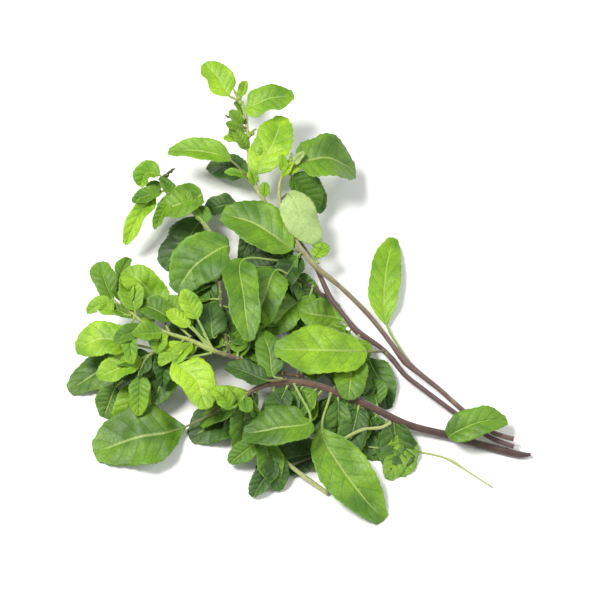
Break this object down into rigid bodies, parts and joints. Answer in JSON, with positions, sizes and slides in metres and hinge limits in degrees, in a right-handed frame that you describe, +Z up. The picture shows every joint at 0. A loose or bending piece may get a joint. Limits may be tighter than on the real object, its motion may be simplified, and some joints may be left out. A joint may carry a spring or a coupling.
{
  "type": "holy basil bunch",
  "caption": "Cut bunch of holy basil lying flat: woody purple-brown stems with green side shoots and toothed oval leaves on thin stalks.",
  "frame": {"origin": "centre of the base of the bounding box, on the table", "axes": "+Z up from the table; +Y from the lowest hanging leaf toward the top of the tallest shoot, the longest extent; +X toward the cut ends of the stems"},
  "size_m": [0.231, 0.2526, 0.0345],
  "materials": {
    "bright": "soft bright green upper face of a young leaf",
    "mid": "green leaf with sunken veins",
    "dark": "deep green leaf in shade",
    "pale": "matte pale green underside of a leaf",
    "bark": "matte purple-brown stem skin with fine hairs",
    "green": "pale green young stem skin"
  },
  "bodies": {
    "root": {"leaf_crown_under": "dark", "leaf_left_oval": "dark", "leaf_mid_dark": "dark", "leaf_low_back": "mid", "leaf_low_left": "dark", "leaf_low_purple": "dark", "leaf_far_left": "mid", "leaf_left_low": "mid", "leaf_left_light": "bright", "leaf_big_left": "mid", "leaf_upright": "bright", "leaf_mid_low": "mid", "leaf_behind": "mid", "leaf_low_inner": "dark", "leaf_side_low": "mid", "leaf_mid_back": "dark", "leaf_right_mid": "dark", "stem_a": "bark", "stem_b": "bark", "stem_c": "bark", "shoot_d": "green", "shoot_e": "bark", "shoot_f": "green", "shoot_g": "bark", "shoot_h": "bark", "twig_cut": "green", "thread": "green", "leaf_mid_wide": "mid", "leaf_right_inner": "mid", "leaf_top_wide": "mid", "leaf_top_pale": "pale", "leaf_top_small": "bright", "leaf_inner_right": "mid", "leaf_trunk_a": "mid", "leaf_trunk_b": "dark", "leaf_crown_big": "bright", "leaf_crown_left": "bright", "leaf_crown_right": "mid", "leaf_tip_oval": "bright", "leaf_tip_right": "bright", "leaf_spike_a": "mid", "leaf_spike_b": "mid", "leaf_left_high": "mid", "leaf_left_curl": "bright", "leaf_left_long": "bright", "leaf_end_long": "mid", "leaf_end_hook": "mid", "leaf_end_wide": "bright", "leaf_end_loop": "bright", "leaf_side_mid": "mid", "leaf_left_bright": "bright", "leaf_left_tongue": "bright", "leaf_mid_long": "mid", "leaf_front_left": "bright", "leaf_front_small": "bright", "leaf_front_low": "mid", "leaf_front_big": "bright", "leaf_drop_big": "mid", "leaf_mid_spot": "dark", "leaf_wrap": "mid"}
  },
  "joints": []
}
